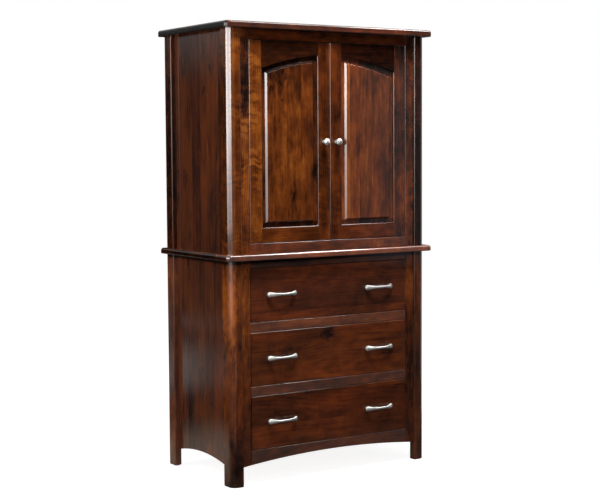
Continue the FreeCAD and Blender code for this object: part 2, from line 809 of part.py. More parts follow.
def upper_back():
    panel = back_panel("upper_back_blank", "waist_height", f"{upper_top} - waist_height")
    rear = f"({back_face} + back_thickness)"
    through = "back_thickness + grommet_flange_thickness"
    hole = grommet_rod("grommet_hole", "grommet_sleeve_radius + grommet_clearance", f"{rear} + overrun",
                       "back_thickness + 2 * overrun")
    keep(cut("upper_back_panel", panel, hole), "upper_back_panel")
    sleeve = grommet_rod("grommet_sleeve", "grommet_sleeve_radius", rear, through)
    flange = grommet_rod("grommet_flange", "grommet_flange_radius", back_face, "grommet_flange_thickness")
    bore = grommet_rod("grommet_bore", "grommet_bore_radius", f"{rear} + overrun", f"{through} + 2 * overrun")
    keep(cut("cable_grommet", fuse("grommet_blank", sleeve, flange), bore), "cable_grommet")


def base_case():
    posts("base", "glide_height", f"{base_top} - glide_height")
    side_panels("base", base_side_panel())
    base_face_frame()
    back_height = f"{base_top} - side_arch_spring"
    keep(back_panel("base_back_panel", "side_arch_spring", back_height), "base_back_panel")
    foot_glides()
    top_board("waist_board", base_top, "waist_thickness")
    cleats = []
    cabinet_members = []
    for place, name in enumerate(drawer_names):
        drawer(place)
        support = cleat(place)
        cleats += [support, mirror(f"{name}_right_cleat", support)]
        cabinet, mid, inner = slide_members(place)
        cabinet_members += [cabinet, mirror(f"{name}_right_cabinet_member", cabinet)]
        pair(f"{name}_slide_middles", mid)
        pair(f"{name}_slide_inners", inner)
    keep(group("slide_cleats", *cleats), "slide_cleats")
    keep(group("slide_cabinet_members", *cabinet_members), "slide_cabinet_members")


def upper_case():
    height = f"({upper_top} - waist_height)"
    posts("upper", "waist_height", height)
    side_panels("upper", upper_side_panel())
    pair("upper_face_stiles", face_stile("upper_stile", "waist_height", height))
    upper_rail("upper_top_rail", doorway_top, doorway_top)
    upper_rail("upper_bottom_rail", "waist_height", f"{doorway_bottom} - pivot_plate_thickness")
    upper_inside()
    upper_back()
    top_board("crown_board", upper_top, "crown_thickness")
    cabinet_plates, door_leaves = pivots()
    solids = []
    for plate in cabinet_plates:
        solids += [plate, mirror(plate.Name + "_right", plate)]
    keep(group("pivot_plates", *solids), "pivot_plates")
    pair("door_catches", catch())
    doors(door_leaves)


def write_parts():
    doc.recompute()
    for thing in doc.Objects:
        if "Invalid" in thing.State or "Error" in thing.State:
            raise RuntimeError(f"{thing.Label} failed: {thing.State}")
    for piece in pieces:
        if piece.Shape.isNull() or not piece.Shape.isValid() or not piece.Shape.Solids:
            raise RuntimeError(f"{piece.Label} has no valid solid")
    os.makedirs("parts", exist_ok=True)
    for piece in pieces:
        piece.Shape.exportStep(f"parts/{piece.Label}.step")
    print(f"{len(pieces)} sub-parts written")


base_case()
upper_case()
write_parts()
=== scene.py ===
import json
import math

import bmesh
import bpy
from mathutils import Matrix, Vector


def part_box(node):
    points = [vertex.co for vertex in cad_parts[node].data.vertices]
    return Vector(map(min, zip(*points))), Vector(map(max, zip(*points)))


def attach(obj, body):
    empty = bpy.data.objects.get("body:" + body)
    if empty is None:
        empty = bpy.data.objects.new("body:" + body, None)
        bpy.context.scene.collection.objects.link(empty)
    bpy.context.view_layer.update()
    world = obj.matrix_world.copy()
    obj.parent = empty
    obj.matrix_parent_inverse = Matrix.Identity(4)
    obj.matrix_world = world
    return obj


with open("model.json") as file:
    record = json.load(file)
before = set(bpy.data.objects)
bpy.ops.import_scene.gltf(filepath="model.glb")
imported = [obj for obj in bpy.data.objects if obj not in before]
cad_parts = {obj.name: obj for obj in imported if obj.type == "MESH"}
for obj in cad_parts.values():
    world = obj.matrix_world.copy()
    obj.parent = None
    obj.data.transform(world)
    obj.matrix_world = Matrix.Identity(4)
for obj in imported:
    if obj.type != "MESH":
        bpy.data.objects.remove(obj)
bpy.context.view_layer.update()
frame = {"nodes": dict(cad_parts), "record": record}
nodes = frame["nodes"]
scene = bpy.context.scene
scene.view_settings.view_transform = "Standard"

# camera, at the angle the cabinet was shot from
shot = {
    "place": (-3.3810, -5.2482, 1.4482),
    "lens": 81.98,
    "sensor": 36.0,
    "yaw": -32.89,
    "pitch": -4.26,
    "roll": -0.34,
    "farthest": 1000,
}


def makeCamera(plan):
    yaw, pitch, roll = (math.radians(plan[key]) for key in ("yaw", "pitch", "roll"))
    ahead = Vector((-math.sin(yaw) * math.cos(pitch), math.cos(yaw) * math.cos(pitch), math.sin(pitch)))
    side = Vector((math.cos(yaw), math.sin(yaw), 0))
    top = side.cross(ahead)
    sideRolled = math.cos(roll) * side + math.sin(roll) * top
    topRolled = math.cos(roll) * top - math.sin(roll) * side
    data = bpy.data.cameras.new("shotCamera")
    data.lens = plan["lens"]
    data.sensor_width = plan["sensor"]
    data.sensor_fit = "HORIZONTAL"
    data.clip_end = plan["farthest"]
    camera = bpy.data.objects.new("shotCamera", data)
    turn = Matrix((sideRolled, topRolled, -ahead)).transposed().to_4x4()
    turn.translation = Vector(plan["place"])
    camera.matrix_world = turn
    scene.collection.objects.link(camera)
    scene.camera = camera


makeCamera(shot)
print("camera set")


# node helpers
def addNode(tree, kind, **settings):
    node = tree.nodes.new(kind)
    for key, value in settings.items():
        setattr(node, key, value)
    return node


def feed(tree, socket, value):
    if isinstance(value, bpy.types.NodeSocket):
        tree.links.new(value, socket)
    else:
        socket.default_value = value


def calc(tree, operation, *values):
    node = addNode(tree, "ShaderNodeMath", operation=operation)
    for socket, value in zip(node.inputs, values):
        feed(tree, socket, value)
    return node.outputs[0]


def weighted(tree, start, *terms):  # start plus each value times its weight
    total = start
    for value, weight in terms:
        node = addNode(tree, "ShaderNodeMath", operation="MULTIPLY_ADD")
        for socket, part in zip(node.inputs, (value, weight, total)):
            feed(tree, socket, part)
        total = node.outputs[0]
    return total


def hypot(tree, first, second):
    return calc(tree, "SQRT", weighted(tree, calc(tree, "MULTIPLY", first, first), (second, second)))


def remap(tree, value, low, high, newLow=0.0, newHigh=1.0, smooth=True):
    node = addNode(tree, "ShaderNodeMapRange", interpolation_type="SMOOTHSTEP" if smooth else "LINEAR")
    for name, part in (("Value", value), ("From Min", low), ("From Max", high),
                       ("To Min", newLow), ("To Max", newHigh)):
        feed(tree, node.inputs[name], part)
    return node.outputs["Result"]


def coordinates(tree, kind="Object"):
    return addNode(tree, "ShaderNodeTexCoord").outputs[kind]


def split(tree, vector):
    node = addNode(tree, "ShaderNodeSeparateXYZ")
    feed(tree, node.inputs[0], vector)
    return node.outputs


def join(tree, x, y, z):
    node = addNode(tree, "ShaderNodeCombineXYZ")
    for socket, value in zip(node.inputs, (x, y, z)):
        feed(tree, socket, value)
    return node.outputs[0]


def noise(tree, vector, scale, detail=2.0, rough=0.5, kept=None):  # scale across and along the vector
    across, along = scale
    stretched = addNode(tree, "ShaderNodeVectorMath", operation="MULTIPLY")
    feed(tree, stretched.inputs[0], vector)
    stretched.inputs[1].default_value = (across, across, along)
    node = addNode(tree, "ShaderNodeTexNoise")
    feed(tree, node.inputs["Vector"], stretched.outputs[0])
    node.inputs["Scale"].default_value = 1.0
    node.inputs["Detail"].default_value = detail
    node.inputs["Roughness"].default_value = rough
    return remap(tree, node.outputs["Fac"], *kept) if kept else node.outputs["Fac"]


def socketKind(label):
    return "NodeSocketVector" if label in ("Position", "Normal") else "NodeSocketFloat"


def startGroup(name, inputs, outputs):
    tree = bpy.data.node_groups.new(name, "ShaderNodeTree")
    for label, value in inputs.items():
        socket = tree.interface.new_socket(name=label, in_out="INPUT", socket_type=socketKind(label))
        if value is not None:
            socket.default_value = value
    for label in outputs:
        tree.interface.new_socket(name=label, in_out="OUTPUT", socket_type=socketKind(label))
    return tree, addNode(tree, "NodeGroupInput").outputs, addNode(tree, "NodeGroupOutput").inputs


def useGroup(tree, group, **values):
    node = addNode(tree, "ShaderNodeGroup", node_tree=group)
    for label, value in values.items():
        feed(tree, node.inputs[label], value)
    return node.outputs


def makeRamp(tree, value, stops):
    node = addNode(tree, "ShaderNodeValToRGB")
    ramp = node.color_ramp
    while len(ramp.elements) < len(stops):
        ramp.elements.new(0.5)
    for element, (place, colour) in zip(ramp.elements, stops):
        element.position = place
        element.color = (*colour, 1)
    feed(tree, node.inputs[0], value)
    return node.outputs["Color"]


def mixColour(tree, blend, amount, first, second):
    node = addNode(tree, "ShaderNodeMix", data_type="RGBA", blend_type=blend)
    feed(tree, node.inputs["Factor"], amount)
    for socket, value in zip((node.inputs[6], node.inputs[7]), (first, second)):  # the colour pair
        feed(tree, socket, value if isinstance(value, bpy.types.NodeSocket) else (*value, 1))
    return node.outputs[2]


def bareMaterial(name):
    material = bpy.data.materials.new(name)
    material.use_nodes = True
    tree = material.node_tree
    tree.nodes.clear()
    return material, tree, addNode(tree, "ShaderNodeOutputMaterial").inputs["Surface"]


def newMaterial(name):
    material, tree, surface = bareMaterial(name)
    shader = addNode(tree, "ShaderNodeBsdfPrincipled")
    tree.links.new(shader.outputs[0], surface)
    return material, tree, shader.inputs


def addBump(tree, shader, height, strength, distance, normal=None):
    node = addNode(tree, "ShaderNodeBump")
    if normal is not None:
        feed(tree, node.inputs["Normal"], normal)
    node.inputs["Strength"].default_value = strength
    node.inputs["Distance"].default_value = distance
    feed(tree, node.inputs["Height"], height)
    tree.links.new(node.outputs[0], shader["Normal"])


# figure of a board: position runs across, through and along the grain, in metres
wholeBoard = 9.0  # strip width of a board that isn't glued up, wider than any board
figure = {
    "clouds": dict(scale=(5.5, 2.6), detail=2.5, kept=(0.28, 0.72)),
    "smudges": dict(scale=(13, 8), detail=3, kept=(0.62, 0.78)),
    "mottle": dict(scale=(28, 14), detail=3, rough=0.6, kept=(0.26, 0.74, -0.5, 0.5)),
    "bands": dict(scale=(48, 1.2), detail=3, rough=0.55, kept=(0.28, 0.72)),
    "streaks": dict(scale=(240, 5), detail=3, rough=0.6, kept=(0.26, 0.74)),
    "fibres": dict(scale=(900, 30), detail=2),
    "minerals": dict(scale=(26, 3.0), detail=2, kept=(0.60, 0.74)),
    "stripSeed": 3.71, "stripJitter": 0.8, "seamWidth": 0.0007,
    "luckShift": (4.0, 3.0, 6.0), "seedShift": (1.31, 0.73, 2.17),  # where in the tree a strip is cut
    "bend": dict(scale=(5, 1.8), detail=1), "bendReach": 0.030,
    "pithAside": (-0.06, 0.12), "pithDepth": (0.035, 0.10), "pithBend": 1.6, "taper": 0.10,
    "ringPitch": 0.0090, "ringWobble": 0.010, "ringPower": 2.0,
    "sway": dict(scale=(20, 8), detail=1), "swayReach": 0.05,
    "ripples": dict(scale=(16, 62), detail=1.5, kept=(0.34, 0.66, -1.0, 1.0)),
    "ripplePatch": dict(scale=(13, 7), detail=2, kept=(0.40, 0.62)),
    "mixes": {  # what each output starts at, and the weights of its parts
        "Shade": (0.085, dict(clouds=0.32, blotch=0.27, bands=0.12, streaks=0.13, fibres=0.10, minerals=-0.16,
                              smudges=-0.22, rings=-0.10, ripple=0.11, toneLuck=0.24, seam=-0.12)),
        "Height": (0.0, dict(fibres=0.6, rings=0.3, seam=-0.8)),
        "Sheen": (0.0, dict(fibres=0.5, clouds=0.3, streaks=0.2)),
        "Hue": (0.0, dict(clouds=0.5, hueLuck=0.5)),
    },
}


def makeBoardFigure(plan):
    tree, given, result = startGroup(
        "boardFigure", dict(Position=None, Seed=0.0, Strip=wholeBoard, Curl=0.0, Blotch=1.0), plan["mixes"])
    seed, strip = given["Seed"], given["Strip"]
    across, through, along = split(tree, given["Position"])
    # glued strips of uneven width, each cut from another part of the tree
    stripPlace = weighted(tree, calc(tree, "DIVIDE", across, strip), (seed, plan["stripSeed"]))
    strips = addNode(tree, "ShaderNodeTexVoronoi", voronoi_dimensions="1D", feature="F1")
    seams = addNode(tree, "ShaderNodeTexVoronoi", voronoi_dimensions="1D", feature="DISTANCE_TO_EDGE")
    for node in (strips, seams):
        feed(tree, node.inputs["W"], stripPlace)
        node.inputs["Scale"].default_value = 1
        node.inputs["Randomness"].default_value = plan["stripJitter"]
    seamReach = calc(tree, "MULTIPLY", seams.outputs["Distance"], strip)
    luck = split(tree, strips.outputs["Color"])
    local = join(tree, *(
        weighted(tree, axis, (chance, luckShift), (seed, seedShift))
        for axis, chance, luckShift, seedShift
        in zip((across, through, along), luck, plan["luckShift"], plan["seedShift"])))
    bendNoise = calc(tree, "SUBTRACT", noise(tree, local, **plan["bend"]), 0.5)
    bend = calc(tree, "MULTIPLY", bendNoise, plan["bendReach"])
    localAcross, localThrough, localAlong = split(tree, local)
    grain = join(tree, calc(tree, "ADD", localAcross, bend), localThrough, localAlong)

    parts = {name: noise(tree, local, **plan[name]) for name in ("clouds", "smudges")}
    for name in ("mottle", "bands", "streaks", "fibres", "minerals"):
        parts[name] = noise(tree, grain, **plan[name])
    parts["blotch"] = calc(tree, "MULTIPLY", parts["mottle"], given["Blotch"])
    parts["seam"] = remap(tree, seamReach, 0.0, plan["seamWidth"], 1.0, 0.0)
    parts["toneLuck"], parts["hueLuck"] = luck[0], luck[1]

    # growth rings of a tapering trunk, so that flat boards show arches
    fromMiddle = calc(tree, "MULTIPLY", calc(tree, "SUBTRACT", stripPlace, strips.outputs["W"]), strip)
    aside, asideLuck = plan["pithAside"]
    depth, depthLuck = plan["pithDepth"]
    fromPith = weighted(tree, fromMiddle, (luck[1], asideLuck), (bend, plan["pithBend"]), (1.0, aside))
    radius = hypot(tree, fromPith, weighted(tree, depth, (luck[2], depthLuck)))
    taper = calc(tree, "MULTIPLY", calc(tree, "SUBTRACT", luck[0], 0.5), plan["taper"])
    ringPlace = calc(tree, "SUBTRACT", radius, calc(tree, "MULTIPLY", taper, localAlong))
    ringPlace = weighted(tree, ringPlace, (parts["clouds"], plan["ringWobble"]))
    ringWave = calc(tree, "SINE", calc(tree, "MULTIPLY", ringPlace, 2 * math.pi / plan["ringPitch"]))
    parts["rings"] = calc(tree, "POWER", weighted(tree, 0.5, (ringWave, 0.5)), plan["ringPower"])

    # ripples across the grain, in patches
    sway = calc(tree, "MULTIPLY", noise(tree, local, **plan["sway"]), plan["swayReach"])
    swayed = join(tree, localAcross, localThrough, calc(tree, "ADD", localAlong, sway))
    patch = noise(tree, local, **plan["ripplePatch"])
    ripple = calc(tree, "MULTIPLY", noise(tree, swayed, **plan["ripples"]), patch)
    parts["ripple"] = calc(tree, "MULTIPLY", ripple, given["Curl"])

    for label, (start, weights) in plan["mixes"].items():
        terms = [(parts[part], weight) for part, weight in weights.items()]
        feed(tree, result[label], weighted(tree, start, *terms))
    return tree


boardFigure = makeBoardFigure(figure)

# a knot, or a lighter or darker patch, at one spot of a board, ragged at its edge
spotRim = {"rag": dict(scale=(70, 30), detail=3), "ragReach": 1.4, "fade": (0.75, 1.75)}


def makeSpot(plan):
    tree, given, result = startGroup(
        "boardSpot", dict(Position=None, Across=0.0, Along=0.0, Wide=0.01, Long=0.01), ("Mask",))
    across, _, along = split(tree, given["Position"])
    sideways = calc(tree, "DIVIDE", calc(tree, "SUBTRACT", across, given["Across"]), given["Wide"])
    lengthways = calc(tree, "DIVIDE", calc(tree, "SUBTRACT", along, given["Along"]), given["Long"])
    rag = noise(tree, given["Position"], **plan["rag"])
    reach = weighted(tree, hypot(tree, sideways, lengthways), (rag, plan["ragReach"]))
    feed(tree, result["Mask"], remap(tree, reach, *plan["fade"], 1.0, 0.0))
    return tree


boardSpot = makeSpot(spotRim)


def spotMask(tree, position, across, along, wide, long):
    spot = useGroup(tree, boardSpot, Position=position, Across=across, Along=along, Wide=wide, Long=long)
    return spot["Mask"]


# rubbed edges, where a rounded normal leaves the true one
rub = {"radius": 0.002, "breakup": 60.0, "samples": 6, "turn": (0.995, 0.86), "patches": (0.30, 0.62)}


def makeEdgeWear(plan):
    tree, given, result = startGroup(
        "edgeWear", dict(Radius=plan["radius"], Breakup=plan["breakup"]), ("Mask", "Normal"))
    softened = addNode(tree, "ShaderNodeBevel", samples=plan["samples"])
    feed(tree, softened.inputs["Radius"], given["Radius"])
    surface = addNode(tree, "ShaderNodeNewGeometry")
    dot = addNode(tree, "ShaderNodeVectorMath", operation="DOT_PRODUCT")
    feed(tree, dot.inputs[0], softened.outputs["Normal"])
    feed(tree, dot.inputs[1], surface.outputs["Normal"])
    edge = remap(tree, dot.outputs["Value"], *plan["turn"])
    patches = addNode(tree, "ShaderNodeTexNoise")
    feed(tree, patches.inputs["Vector"], coordinates(tree))
    feed(tree, patches.inputs["Scale"], given["Breakup"])
    broken = remap(tree, patches.outputs["Fac"], *plan["patches"])
    feed(tree, result["Mask"], calc(tree, "MULTIPLY", edge, broken))
    feed(tree, result["Normal"], softened.outputs["Normal"])
    return tree


edgeWear = makeEdgeWear(rub)
print("shader groups built")

# which object axes run across, through and along the grain
grainAxes = {
    "uprightFront": (0, 1, 2), "uprightSide": (1, 0, 2), "levelFront": (2, 1, 0),
    "levelBoard": (1, 2, 0), "deepSide": (2, 0, 1),
}


def grainPosition(tree, grain):
    axes = split(tree, coordinates(tree))
    return join(tree, *(axes[i] for i in grainAxes[grain]))


# dark stain under satin lacquer
stain = {
    "ramp": [
        (0.00, (0.0060, 0.0022, 0.0014)),
        (0.25, (0.0230, 0.0064, 0.0026)),
        (0.50, (0.0680, 0.0158, 0.0042)),
        (0.75, (0.1450, 0.0335, 0.0062)),
        (1.00, (0.2700, 0.0780, 0.0120)),
    ],
    "middle": 0.456,  # shade that calm boards keep to
    "redder": (1.06, 0.88, 0.98), "browner": (0.96, 1.06, 1.10), "hueKept": (0.2, 0.8), "hueSwing": 0.5,
    # the first is a pale grey painted in as sheen and as edge highlight
    "paintedSheen": (0.50, 0.46, 0.46), "sapwood": (0.460, 0.115, 0.016),
    "roughness": (0.085, 0.045), "bump": (0.03, 0.0004),
    # edges lift lighter, partly as real wear and partly as painted highlight; the last turn sets where
    # upper-edge painted highlight meets lower-edge painted shade
    "wearAndHighlightLift": 0.20, "softWearAndHighlight": 0.5, "edgeLightPaintTurn": 0.25,
    # end grain takes more stain; faces that look down get painted shade
    "endShade": -0.24, "endTurn": (0.35, 0.95), "underPaintedShade": -0.34, "underShadeTurn": (0.4, 0.9),
    # painted shade in the recess round a panel's field: depths behind its face; painted shadow at its
    # cross-cut arch and sill
    "recessDepths": (0.0002, 0.0017, 0.0113, 0.0133), "recessPaintedShade": -0.13, "crossPaintedShadow": -0.30,
    "archCentre": 0.8485, "archEdge": (0.9780, 0.9805), "sillEdge": (0.0220, 0.0195),
    # painted shadow beneath the waist board: how far below it reaches, and its tint
    "waistShadowDrop": (0.025, 0.008), "waistShadowTint": (0.10, 0.08, 0.07),
}
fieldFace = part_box("left_door_panel")[0].y
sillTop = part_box("left_door_bottom_rail")[1].z
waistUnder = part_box("waist_board")[0].z


def paintedRecessTerms(tree, position):  # painted shade in the recess round the field, painted shadow beneath the arch and above the sill
    across, depth, along = split(tree, position)
    near, far, backNear, backFar = (fieldFace + deep for deep in stain["recessDepths"])
    inFront = remap(tree, depth, backNear, backFar, 1.0, 0.0)
    recess = calc(tree, "MULTIPLY", remap(tree, depth, near, far), inFront)
    rise = calc(tree, "SUBTRACT", along, stain["archCentre"])
    atArch = remap(tree, hypot(tree, across, rise), *stain["archEdge"])
    atSill = remap(tree, along, *(sillTop + high for high in stain["sillEdge"]))
    archSillShadow = calc(tree, "MULTIPLY", recess, calc(tree, "MAXIMUM", atArch, atSill))
    return (recess, stain["recessPaintedShade"]), (archSillShadow, stain["crossPaintedShadow"])


def stainHue(tree, colour, figureHue, hue):  # boards lean to red or to brown
    swing = stain["hueSwing"]
    lean = remap(tree, figureHue, *stain["hueKept"], hue - swing, hue + swing, smooth=False)
    colour = mixColour(tree, "MULTIPLY", calc(tree, "MAXIMUM", lean, 0.0), colour, stain["redder"])
    back = calc(tree, "MAXIMUM", calc(tree, "MULTIPLY", lean, -1.0), 0.0)
    return mixColour(tree, "MULTIPLY", back, colour, stain["browner"])


def sharpLeft(tree, normal):  # rounded edges, but the left ends stay sharp
    leftRight, frontBack, upDown = split(tree, normal)
    unit = addNode(tree, "ShaderNodeVectorMath", operation="NORMALIZE")
    feed(tree, unit.inputs[0], join(tree, calc(tree, "MAXIMUM", leftRight, 0.0), frontBack, upDown))
    return unit.outputs[0]


def stainedWood(name, grain, tone=0.0, strip=wholeBoard, seed=0.0, curl=0.0, hue=0.0, calm=1.0, blotch=1.0,
                paintedSheen=0.0, gloss=0.5, satin=0.0, crisp=False, soften=0.0018, edgeLightPaint=0.0, shadedRecess=False, ends=1.0,
                under=False, waistShadow=False, sapwood=None, spots=()):
    material, tree, shader = newMaterial(name)
    position = grainPosition(tree, grain)
    board = useGroup(tree, boardFigure, Position=position, Seed=seed, Strip=strip, Curl=curl, Blotch=blotch)
    edge = useGroup(tree, edgeWear, Radius=soften)
    facing = split(tree, coordinates(tree, "Normal"))
    endGrain = remap(tree, calc(tree, "ABSOLUTE", facing[grainAxes[grain][2]]), *stain["endTurn"])
    # rubbed edges come out lighter: real wear, and painted highlight along the edges
    wear = calc(tree, "MULTIPLY", edge["Mask"], stain["wearAndHighlightLift"] * (1 if crisp else stain["softWearAndHighlight"]))
    if edgeLightPaint:  # painted highlight on upper edges, painted shade on lower ones
        turn = stain["edgeLightPaintTurn"]
        upperEdgeLit = remap(tree, split(tree, edge["Normal"])[2], -turn, turn, -1.0, 1.0)
        wear = calc(tree, "MULTIPLY", wear, upperEdgeLit)

    shade = weighted(tree, stain["middle"] * (1 - calm) + tone, (board["Shade"], calm), (wear, 1.0),
                     (endGrain, stain["endShade"] * ends))
    if under:  # painted shade on faces that look down
        faceDown = calc(tree, "MULTIPLY", facing[2], -1.0)
        shade = weighted(tree, shade, (remap(tree, faceDown, *stain["underShadeTurn"]), stain["underPaintedShade"]))
    # painted shade in the panel's recess, painted shadow at arch and sill
    if shadedRecess:
        shade = weighted(tree, shade, *paintedRecessTerms(tree, position))
    for *place, lift in spots:
        shade = weighted(tree, shade, (spotMask(tree, position, *place), lift))

    colour = stainHue(tree, makeRamp(tree, shade, stain["ramp"]), board["Hue"], hue)
    if sapwood:
        *place, amount = sapwood
        pale = calc(tree, "MULTIPLY", spotMask(tree, position, *place), amount)
        colour = mixColour(tree, "MIX", pale, colour, stain["sapwood"])
    if paintedSheen:  # painted sheen: a grey haze standing in for reflection, left off the end grain
        colour = mixColour(tree, "MIX", weighted(tree, paintedSheen, (endGrain, -paintedSheen)), colour, stain["paintedSheen"])
    # painted highlight: the upper edges are mixed toward a pale grey
    if edgeLightPaint:
        paintedEdgeHighlight = calc(tree, "MULTIPLY", edge["Mask"], calc(tree, "MAXIMUM", upperEdgeLit, 0.0))
        colour = mixColour(tree, "MIX", calc(tree, "MULTIPLY", paintedEdgeHighlight, edgeLightPaint), colour, stain["paintedSheen"])
    if waistShadow:  # painted shadow beneath the waist board's overhang
        high = split(tree, coordinates(tree))[2]
        shadow = remap(tree, high, *(waistUnder - drop for drop in stain["waistShadowDrop"]))
        colour = mixColour(tree, "MULTIPLY", shadow, colour, stain["waistShadowTint"])

    feed(tree, shader["Base Color"], colour)
    low, spread = stain["roughness"]
    feed(tree, shader["Roughness"], weighted(tree, low + satin, (board["Sheen"], spread)))
    shader["Specular IOR Level"].default_value = gloss
    rounded = edge["Normal"] if crisp else None
    if edgeLightPaint:
        rounded = sharpLeft(tree, rounded)
    addBump(tree, shader, board["Height"], *stain["bump"], normal=rounded)
    return material


